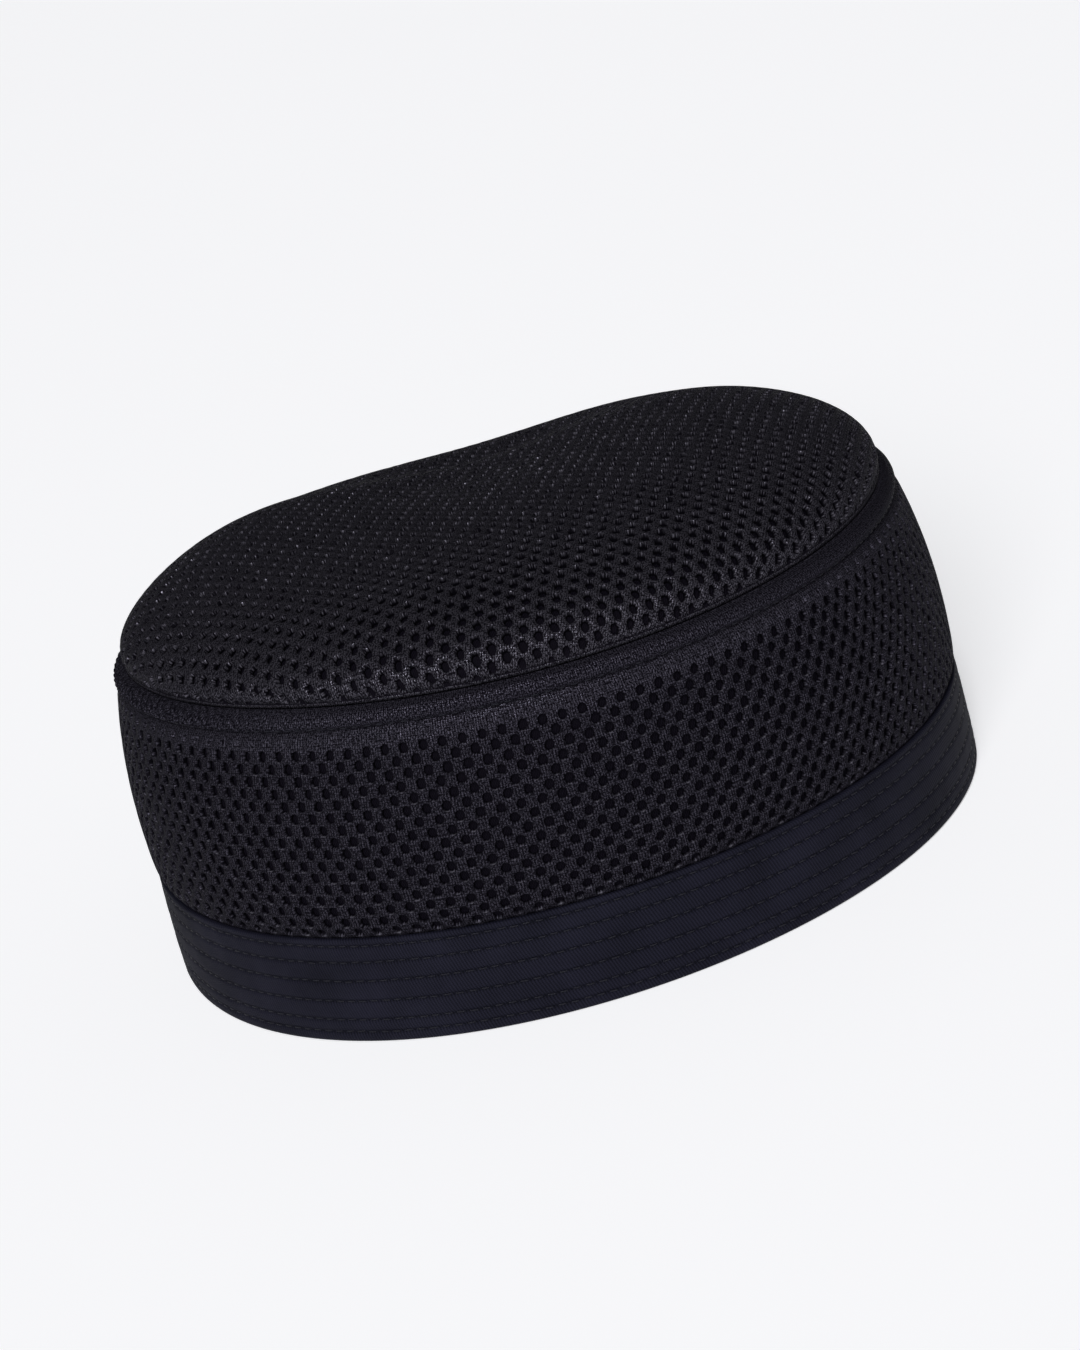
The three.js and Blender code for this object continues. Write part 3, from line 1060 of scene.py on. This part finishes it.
    def core(self) -> Patch:
        """The padded body under the net: over the dome, into the groove, round the edge and back."""
        turns = np.linspace(np.pi / 2, 0, self.body_rings)
        reach, rise, tuck = self.dome(turns)
        outward = reach * (self.outline.seam_length + self.outline.seam_width) / 4 - tuck
        steps = np.hypot(np.diff(outward), np.diff(rise))
        inside = np.concatenate([np.cumsum(steps[::-1])[::-1], [0]])
        sunk = self.sunk_edge * smoothstep(inside, self.bare_edge - 0.4, self.bare_edge + 0.9)
        sunk = sunk + self.sunk_more * smoothstep(inside, self.bare_edge + 1.0, self.bare_edge + 4.0)
        outer = self.shell(turns, sunk)
        edge_inner = self.facing_outer + self.pressed
        foot = self.seam - self.allowance
        edge = np.array(
            [
                [1, 2.6, self.seam, 0],
                [1, self.facing_outer, self.seam - 0.3, 0],
                [1, self.facing_outer, foot, 0],
                [1, edge_inner, foot, 0],
                [1, edge_inner, self.seam - 1.0, 0],
                [1, edge_inner, self.seam, 0],
            ]
        )
        inner = self.shell(turns, np.full(self.body_rings, self.thickness))
        inner = inner[inner[:, 2] > self.seam + self.pressed][::-1]
        places = np.concatenate([outer, edge, inner])
        places[-1, 0] = places[-1, 1] = places[0, 0] = places[0, 1] = 0.0
        angle = np.linspace(0, TURN, self.columns, endpoint=False)
        reach, depth, height, sink = (column[:, None] for column in places.T)
        points = self.outline.point(angle[None], height, depth, reach, sink)
        points[0, :, :2] = points[-1, :, :2] = 0.0
        runs = np.linalg.norm(np.diff(points, axis=0), axis=2)
        from_top = np.concatenate([np.zeros((1, self.columns)), np.cumsum(runs, axis=0)])
        from_under = from_top[-1:] - from_top
        split = len(outer) + len(edge) // 2
        length = np.where(np.arange(len(places))[:, None] < split, from_top, from_under)
        length = np.concatenate([length, length[:, :1]], axis=1)
        rim = self.outline.point(np.append(angle, TURN), np.full(self.columns + 1, self.seam))
        heading = np.arctan2(rim[:, 1], rim[:, 0])
        cloth = length[..., None] * np.stack([np.cos(heading), np.sin(heading)], -1)
        side = np.full(len(places), MeshSide.INSIDE.value)
        side[:split] = MeshSide.FACE.value
        side[: int((sunk > 0.25).sum())] = MeshSide.SPACER.value
        return grid_patch(points[:, ::-1], turned(cloth, self.grain)[:, ::-1], False, side)

    def build(self, finishes: Materials, knit: bpy.types.Material) -> Pieces:
        """Builds the crown.

        Args:
            finishes: The body's materials of face, spacer and inside.
            knit: The net's material.

        Returns:
            The padded body and the knitted face on it, which stand for the crown's solid.
        """
        body = make_piece("crown_body", [self.core()], finishes)
        close_poles(body)
        face = make_piece("crown_air_mesh", [self.net()], [knit])
        return on_body(body, face, "crown", self.flat, self.flat_area)


@dataclass
class SideWall:
    """The side wall: a band of air mesh with a pressed welt under the crown seam.

    Face is its section from the headband's edge to the welt: the share of the height, and how far it
    swells, as a share of the thickness. Welt_face goes on from there to the groove. Closing gives the
    openness of the holes by how far they lie under the welt's lower edge; within uneven_reach of it
    they vary by uneven. Crowding is how much the cloth's holes draw together at one side and apart
    at the other, from the direction crowd_from. Ribs stand across the welt at the -X end, rib_step
    apart. Thread is a stitch's radius, how proud its middle stands and how deep its ends dive. Flat
    and flat_area are the cut in metres and square metres.
    """

    outline: CapOutline
    girth: Girth
    thickness: float = 3.2
    gap: float = 0.3
    ply: float = 1.2
    inner_depth: float = 2.9
    fold: float = 2.4
    groove: float = 2.0
    welt: float = 7.2
    across_count: int = 141
    crowding: float = 0.105
    crowd_from: float = -140.0
    row_step: float = 2.76
    hole: tuple[float, float] = (1.95, 2.55)
    hole_lean: float = -6.0
    closing: tuple[tuple[float, float], ...] = ((0.6, 0.0), (2.2, 0.25), (4.6, 0.85), (7.5, 1.0))
    uneven: tuple[float, float] = (0.85, 1.1)
    uneven_reach: float = 5.2
    opening_seed: int = 7
    hole_seed: int = 5
    face: tuple[tuple[float, float], ...] = (
        (0.0, 0.62),
        (0.025, 0.84),
        (0.06, 0.95),
        (0.12, 1.0),
        (0.3, 1.04),
        (0.5, 1.06),
        (0.7, 1.06),
        (0.87, 1.04),
        (1.0, 0.98),
    )
    welt_face: tuple[tuple[float, float], ...] = (
        (0.18, 0.9),
        (0.37, 0.5),
        (0.44, 0.78),
        (0.58, 1.04),
        (0.74, 1.04),
        (0.9, 0.8),
    )
    columns: int = 720
    stitch_pitch: float = 3.0
    stitch_length: float = 1.9
    stitch_rise: float = 1.15
    thread: tuple[float, float, float] = (0.16, 0.05, 0.3)
    ribs: float = 0.5
    rib_step: float = 2.8
    rib_lean: float = 0.8
    rib_shade: float = 0.3
    seam_shade: float = 0.7
    net_sunk: float = 1.0
    body_sunk: float = 1.1
    tongue_height: float = 14.0
    stitch_seed: int = 21
    stitch_stray: float = 0.1
    flat: tuple[float, float] = (0.05, 0.59)
    flat_area: float = 0.0295

    def __post_init__(self) -> None:
        """Draws the face's section from behind the headband over the welt into the groove."""
        self.top = self.outline.seam_height - self.gap / 2
        self.foot = self.outline.band_height + self.gap
        tall = self.top - self.welt - self.foot
        table = [(self.foot + climb * tall, swell) for climb, swell in self.face]
        table += [(self.foot + tall + climb * self.welt, swell) for climb, swell in self.welt_face]
        places = [(1.42, 19.0), (1.38, self.foot - 0.6)]
        behind = len(places)
        places += [(self.inner_depth - swell * self.thickness, height) for height, swell in table]
        places += [(self.groove, self.top), (2.75, self.top - 0.1), (2.82, self.top - 4.5)]
        self.path = SectionPath(np.array(places), rounding=0.55)
        self.start = float(self.path.marks[behind - 1])
        self.valley = float(self.path.marks[behind + len(self.face) + 1])
        self.rim = float(self.path.marks[behind + len(table)])

    def surface(self, places: np.ndarray) -> np.ndarray:
        """Lays flat cloth on the wall: length round the cap, and length up the section."""
        depth, height = self.path.at(places[..., 1])
        return self.outline.point(self.girth.angle(places[..., 0]), height, depth)

    def crowded(self, places: np.ndarray) -> np.ndarray:
        """Shifts the cloth round the cap by a sine, so that it is wider on one side than the other."""
        turn = places[..., 0] / self.girth.total * TURN - math.radians(self.crowd_from)
        shift = self.crowding * self.girth.total / TURN * np.sin(turn)
        return np.stack([places[..., 0] + shift, places[..., 1]], -1)

    def laid(self, places: np.ndarray) -> np.ndarray:
        """Lays the cloth, crowded towards one side, on the wall."""
        return self.surface(self.crowded(places))

    def tucked_under(self, places: np.ndarray) -> np.ndarray:
        """How far the net is sunk under the welt's lower edge."""
        return self.net_sunk * smoothstep(places[..., 1], self.valley - 0.3, self.valley + 0.9)

    def net(self) -> Patch:
        """The knitted face with its staggered holes, which close under the welt."""
        pitch = self.girth.total / self.across_count
        holes = HolePattern((pitch, 0.0), (-pitch / 2, self.row_step), *self.hole, self.hole_lean)
        first = self.start - 0.6
        rows = np.arange(int((self.valley + 1.2 - first) / self.row_step) + 1)
        i, j = np.meshgrid(np.arange(self.across_count), rows)
        across = np.mod(i * pitch - j * pitch / 2, self.girth.total)
        centres = np.stack([across, first + j * self.row_step], -1).reshape(-1, 2)
        below = self.valley - centres[:, 1]
        chance = np.random.default_rng(self.opening_seed).uniform(*self.uneven, len(below))
        openness = np.interp(below, *np.array(self.closing).T)
        openness = openness * np.where(below < self.uneven_reach, chance, 1.0)
        openness = openness.clip(0, 1) * np.interp(centres[:, 1] - self.start, [-1.0, 1.0], [0.3, 1.0])
        covers = (self.tucked_under, unshaded)
        return holes.net(self.laid, centres, openness, *covers, self.girth.total, self.hole_seed)

    def core(self) -> Patch:
        """The padded body: up behind the net, out over the bare welt, and down the inner face."""
        up = np.arange(self.start - 3.0, self.valley - 1.5, 1.5)
        up = np.concatenate([up, np.arange(self.valley - 1.3, self.rim + 0.9, 0.4), [self.rim + 1.4]])
        depth, height = self.path.at(up)
        bare = smoothstep(up, self.valley - 1.2, self.valley)
        buried = self.body_sunk * (1 - bare) * smoothstep(up, self.start, self.start + 2.0)
        outer = np.stack([depth + buried, height], 1)
        down = np.linspace(self.top - 0.1, self.fold + self.gap, 14)
        inner = np.stack([np.full(len(down), self.inner_depth), down], 1)
        slot = self.ply + self.gap
        foot = [slot, self.fold + self.gap]
        tongue = np.array([foot, [slot, self.tongue_height], [1.5, outer[0, 1] - 0.5]])
        places = np.concatenate([outer, inner, tongue])
        angle = np.linspace(0, TURN, self.columns, endpoint=False)
        runs = np.hypot(*np.diff(places, axis=0).T)
        climb = up[0] + np.concatenate([[0], np.cumsum(runs)])
        lengths = self.girth.length(np.append(angle, TURN))
        on_welt = smoothstep(climb, self.valley - 0.8, self.valley + 0.6)
        on_welt = on_welt * (1 - smoothstep(climb, self.rim - 1.4, self.rim))
        ribbed = np.sin((lengths[None, :-1] + self.rib_lean * climb[:, None]) / self.rib_step * TURN)
        at_end = smoothstep(-np.cos(angle), 0.3, 0.85)
        depth = places[:, :1] - self.ribs * ribbed * on_welt[:, None] * at_end[None]
        points = self.outline.point(angle[None], places[:, 1:], depth)
        cloth = np.stack(np.broadcast_arrays(lengths[None], climb[:, None]), -1)
        side = np.full(len(places), MeshSide.INSIDE.value)
        side[: len(outer)] = np.where(bare > 0.3, MeshSide.FACE.value, MeshSide.SPACER.value)
        patch = grid_patch(points, cloth, True, side)
        # Painted shade in the lip attribute: in the groove along the welt's edge, on the outside only, and in
        # the valleys between the welt's ribs.
        on_outside = np.arange(len(places)) < len(outer)
        by_seam = self.seam_shade * (smoothstep(climb, self.rim - 1.5, self.rim) * on_outside)[:, None]
        by_rib = self.rib_shade * (1 - ribbed) * on_welt[:, None] * at_end[None]
        patch.lip = -np.maximum(by_seam, by_rib).ravel()
        return patch

    def topstitching(self, thread: bpy.types.Material) -> bpy.types.Object:
        """The row of stitches along the middle of the welt."""
        count = int(self.girth.total / self.stitch_pitch)
        across = np.arange(count) * self.girth.total / count
        starts = np.stack([across, np.full(count, self.valley + self.stitch_rise)], 1)
        chance = np.random.default_rng(self.stitch_seed)
        ends = starts + [self.stitch_length, 0.0] + chance.normal(0, self.stitch_stray, (count, 2))
        patch = stitches(self.surface, starts, ends, *self.thread)
        piece = make_piece("welt_topstitching", [patch], [thread])
        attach(piece, "root")
        return piece

    def build(self, finishes: Materials, knit: bpy.types.Material) -> Pieces:
        """Builds the side wall.

        Args:
            finishes: The body's materials of face, spacer and inside.
            knit: The net's material.

        Returns:
            The padded body and the knitted face on it, which stand for the wall's solid.
        """
        body = make_piece("side_wall_body", [self.core()], finishes)
        face = make_piece("side_wall_air_mesh", [self.net()], [knit])
        return on_body(body, face, "side_wall", self.flat, self.flat_area)


@dataclass
class Headband:
    """The headband: twill folded round the wall's foot, sewn through in six rows.

    Rows are the heights of the rows of stitches, which draw the cloth in by draw within row_width of
    them; between them it puckers. Slot_mark is a height in the slot that the wall's foot stands in.
    Stray_start and stray_end say how far a stitch's ends stray. Thread is a stitch's radius, how
    proud its middle stands and how deep its ends dive. Flat is the cut in metres.
    """

    outline: CapOutline
    girth: Girth
    height: float = 25.1
    ply: float = 1.2
    facing_outer: float = 3.2
    facing_inner: float = 4.2
    facing_height: float = 27.0
    fold: float = 2.4
    slot_mark: float = 14.0
    fold_round: float = 1.0
    edge_round: float = 0.4
    rows: tuple[float, ...] = (2.7, 5.7, 10.3, 15.1, 19.6, 23.5)
    row_width: float = 0.5
    draw: float = 0.3
    pucker: float = 0.07
    proud: float = 0.05
    columns: int = 640
    face_steps: int = 64
    facing_steps: int = 30
    pitch: float = 2.9
    stitch: float = 2.15
    stray_start: float = 0.06
    stray_end: float = 0.08
    thread: tuple[float, float, float] = (0.17, 0.1, 0.3)
    seed: int = 9
    flat: tuple[float, float] = (0.056, 0.594)

    def drawn(self, height: np.ndarray) -> np.ndarray:
        """How far the rows of stitches draw the cloth in at a height: a bell about each row."""
        return sum(np.exp(-(((height - row) / self.row_width) ** 2)) for row in self.rows)

    def relief(self, places: np.ndarray) -> np.ndarray:
        """How deep the cloth lies: drawn in along each row, and slightly waved between the rows."""
        height = places[..., 1]
        drawn = self.drawn(height)
        waved = ripple(places * [1.0, 0.45], 5.5, 3) * 0.6 + ripple(places * [1.0, 0.5], 14.0, 4) * 0.7
        ends = smoothstep(height, 0.6, 2.2) * (1 - smoothstep(height, self.height - 0.9, self.height))
        return ends * (self.draw * drawn - self.proud - self.pucker * waved * (1 - 0.5 * drawn))

    def outer(self, places: np.ndarray) -> np.ndarray:
        """The outer ply's face: length round the cap, and height."""
        return self.outline.point(self.girth.angle(places[..., 0]), places[..., 1], self.relief(places))

    def inner(self, places: np.ndarray) -> np.ndarray:
        """The facing's face, seen from inside the cap, its length running the other way."""
        depth = self.facing_inner + 0.5 * self.relief(places)
        return self.outline.point(self.girth.angle(-places[..., 0]), places[..., 1], depth)

    def arc(self, depth: float, height: float, radius: float, start: float, stop: float) -> np.ndarray:
        """Places round a corner of the section; angle 0 points into the cap and 90 degrees up."""
        turn = np.radians(np.linspace(start, stop, 5))
        return np.stack([depth + radius * np.cos(turn), height + radius * np.sin(turn)], 1)

    def section(self) -> np.ndarray:
        """Up the outer ply, down the slot, up and over the facing, and down to the fold."""
        top, facing_top = self.height - self.edge_round, self.facing_height - self.edge_round
        fold = self.fold_round
        up = np.linspace(fold + 0.3, top - 0.3, self.face_steps)
        down = np.linspace(facing_top - 0.4, fold + 0.4, self.facing_steps)
        slot = [
            (self.ply, self.slot_mark),
            (self.ply, self.fold),
            (self.facing_outer, self.fold),
            (self.facing_outer, self.slot_mark),
        ]
        parts = [
            self.arc(fold, fold, fold, 270, 180),
            np.stack([np.zeros(len(up)), up], 1),
            self.arc(self.edge_round, top, self.edge_round, 180, 90),
            self.arc(self.ply - self.edge_round, top, self.edge_round, 90, 0),
            np.array(slot),
            self.arc(self.facing_outer + self.edge_round, facing_top, self.edge_round, 180, 90),
            self.arc(self.facing_inner - self.edge_round, facing_top, self.edge_round, 90, 0),
            np.stack([np.full(len(down), self.facing_inner), down], 1),
            self.arc(self.facing_inner - fold, fold, fold, 0, -90),
        ]
        return np.concatenate(parts)

    def cloth(self) -> Patch:
        """The headband's closed section carried round the outline, with its faces drawn in."""
        places = self.section()
        angle = np.linspace(0, TURN, self.columns, endpoint=False)
        lengths = self.girth.length(np.append(angle, TURN))
        flat = np.stack(np.broadcast_arrays(lengths[None, :-1], places[:, 1:]), -1)
        on_face = (places[:, :1] < 1e-6) * 1.0 - 0.5 * (places[:, :1] > self.facing_inner - 1e-6)
        depth = places[:, :1] + on_face * self.relief(flat)
        points = self.outline.point(angle[None], places[:, 1:], depth)
        climb = np.concatenate([[0], np.cumsum(np.hypot(*np.diff(places, axis=0).T))])
        cloth = np.stack(np.broadcast_arrays(lengths[None], climb[:, None]), -1)
        patch = grid_patch(points, cloth, True)
        # Painted shade in the lip attribute along the rows of stitches, half as strong on the facing.
        patch.lip = -(np.abs(on_face) * self.drawn(flat[..., 1]) ** 2.5).ravel()
        return patch

    def seams(self) -> list[Patch]:
        """Six rows of stitches on the outer face and on the facing."""
        count = int(self.girth.total / self.pitch)
        chance = np.random.default_rng(self.seed)
        patches = []
        for surface in (self.outer, self.inner):
            phase = chance.uniform(0, self.pitch, len(self.rows))[:, None]
            begin = np.arange(count)[None] * self.girth.total / count + phase
            heights = np.broadcast_to(np.array(self.rows)[:, None], begin.shape)
            starts = np.stack([begin, heights], -1).reshape(-1, 2)
            starts = starts + chance.normal(0, self.stray_start, starts.shape)
            ends = starts + [self.stitch, 0.0] + chance.normal(0, self.stray_end, starts.shape)
            patches.append(stitches(surface, starts, ends, *self.thread))
        return patches

    def build(self, twill: bpy.types.Material, thread: bpy.types.Material) -> Pieces:
        """Builds the headband and its stitching.

        Args:
            twill: The cloth's material.
            thread: The thread's.

        Returns:
            The headband, which stands for its solid, and the stitches.
        """
        band = make_piece("headband_twill", [self.cloth()], [twill])
        sewing = make_piece("headband_stitching", self.seams(), [thread])
        for piece in (band, sewing):
            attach(piece, "root")
        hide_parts("headband")
        return [band, sewing]


# Studio


@dataclass(frozen=True)
class Studio:
    """A pale level floor, soft light, and the camera at the photograph's angle to the cap.

    Each lamp is a direction towards it, its power and its width in degrees. The backdrop is the
    world's strength where the camera sees it, ambient where it lights a matt surface. Lengths are
    in millimetres but for the floor's rings, which are in metres.
    """

    floor_rings: tuple[float, ...] = (0.0, 0.15, 0.4, 1.0, 3.0, 9.0, 25.0)
    floor_sides: int = 96
    floor_tone: Colour = (0.93, 0.932, 0.95)
    floor_glow: float = 0.32
    world_tone: Colour = (0.97, 0.98, 1.0)
    backdrop: float = 0.915
    world_strength: float = 0.06
    ambient: float = 0.1
    lamps: tuple[tuple[tuple[float, float, float], float, float], ...] = (
        ((-0.2, -0.83, 0.48), 1.85, 30.0),
        ((-0.08, -0.62, 0.77), 1.25, 14.0),
    )
    look: tuple[float, float, float] = (1.918, 0.0, 44.156)
    distance: float = 600.0
    elevation: float = 21.623
    roll: float = -15.322
    lens: float = 65.459
    sensor: float = 36.0
    clip_start: float = 0.02

    def floor(self) -> bpy.types.Object:
        """A level round floor: rings about the cap, out to 25 m.

        Returns:
            The floor.
        """
        radius = np.array(self.floor_rings)[:, None] / MM
        angle = np.linspace(0, TURN, self.floor_sides, endpoint=False)
        points = np.stack([radius * np.cos(angle), radius * np.sin(angle), 0 * radius * angle], -1)
        cloth = np.concatenate([points, points[:, :1]], axis=1)[..., :2]
        finish = Finish("pale_floor", specular=0.2)
        faint = finish.noise(0.002, 2.0)
        tone = np.array(self.floor_tone)
        finish.dress(finish.blend(faint, tone * 0.99, tone.clip(0, 0.99)), 0.7, faint, 0.01)
        glow = {"Emission Color": (*self.floor_tone, 1.0), "Emission Strength": self.floor_glow}
        finish.feed(finish.shader, glow)
        patch = grid_patch(points, cloth, False)
        patch.faces = patch.faces[:, ::-1]
        patch.cloth = patch.cloth[:, ::-1]
        floor = make_piece("floor", [patch], [finish.material])
        close_poles(floor)
        return floor

    def light(self) -> None:
        """A dim even world with a pale backdrop, a broad sun in front and a smaller, higher one."""
        world = bpy.data.worlds.new("studio")
        bpy.context.scene.world = world
        world.use_nodes = True
        board = NodeBoard(world.node_tree)
        path = board.node("ShaderNodeLightPath")
        seen, spread = (Reading(board, path.outputs[name]) for name in ("Is Camera Ray", "Is Diffuse Ray"))
        strength = self.world_strength + seen * (self.backdrop - self.world_strength)
        strength = strength + spread * (self.ambient - self.world_strength)
        background = world.node_tree.nodes["Background"]
        board.feed(background, {"Color": (*self.world_tone, 1.0), "Strength": strength})
        for number, (source, power, wide) in enumerate(self.lamps):
            lamp = bpy.data.lights.new(f"lamp_{number}", "SUN")
            lamp.energy = power
            lamp.angle = math.radians(wide)
            sun = bpy.data.objects.new(f"lamp_{number}", lamp)
            sun.rotation_euler = Vector(source).to_track_quat("Z", "Y").to_euler()
            bpy.context.scene.collection.objects.link(sun)

    def camera(self) -> bpy.types.Object:
        """The camera, turned about its own line of sight as the photograph's is.

        Returns:
            The camera.
        """
        scene = bpy.context.scene
        rise, roll = math.radians(self.elevation), math.radians(self.roll)
        back = np.array([0.0, -math.cos(rise), math.sin(rise)])
        right, up = np.array([1.0, 0.0, 0.0]), np.array([0.0, math.sin(rise), math.cos(rise)])
        right, up = math.cos(roll) * right + math.sin(roll) * up, math.cos(roll) * up - math.sin(roll) * right
        place = (np.array(self.look) + back * self.distance) * MM
        data = bpy.data.cameras.new("camera")
        data.sensor_width = self.sensor
        data.lens = self.lens
        data.clip_start = self.clip_start
        camera = bpy.data.objects.new("camera", data)
        rows = [[right[k], up[k], back[k], place[k]] for k in range(3)]
        camera.matrix_world = Matrix(rows + [[0, 0, 0, 1]])
        scene.collection.objects.link(camera)
        scene.camera = camera
        scene.view_settings.view_transform = "Standard"
        return camera


def main() -> None:
    """Builds the studio and then the cap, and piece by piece."""
    logging.basicConfig(level=logging.INFO, format="%(name)s: %(message)s")
    studio = Studio()
    studio.camera()
    studio.light()
    studio.floor()
    outline = CapOutline()
    wall_middle, band_middle = 50.0, 13.0
    wall = SideWall(outline, Girth(outline, wall_middle))
    crown_knit = KnitFinish("air_mesh_face").material()
    inside = KnitFinish("air_mesh_inside", wale=0.9, course=0.8, relief=0.12).material()
    # The welt's and the wall's copies of the knit are painted darker than the crown's, as painted shade, so
    # that the lamps light the crown's front more than the wall.
    welt_light = (0.066, 0.062, 0.084)
    welt_knit = KnitFinish("air_mesh_welt_face", light=welt_light, relief=0.09, roughness=0.3).material()
    wall_knit = KnitFinish(
        "air_mesh_wall_face",
        dark=(0.0016, 0.0014, 0.0024),
        light=(0.064, 0.060, 0.081),
        # The wall's holes take a brighter painted glint colour.
        painted_glint_colour=(0.14, 0.135, 0.165),
        relief=0.1,
        roughness=0.3,
        gloss=0.8,
        uneven=1.05,
        even=0.12,
        # Painted light: lift brightens the wall's loops from 7 mm under the welt's valley up.
        lift=0.6,
        lift_from=wall.valley - 7.0,
    ).material()
    spacer = SpacerFinish().material()
    thread = ThreadFinish().material()
    twill = TwillFinish("band_twill").material()
    pieces = Crown(outline).build([crown_knit, spacer, inside], crown_knit)
    pieces += wall.build([welt_knit, spacer, inside], wall_knit) + [wall.topstitching(thread)]
    pieces += Headband(outline, Girth(outline, band_middle)).build(twill, thread)
    for piece in pieces:
        triangles = sum(len(face.vertices) - 2 for face in piece.data.polygons)
        LOG.info("%s: %d triangles", piece.name, triangles)


if __name__ == "__main__":
    main()
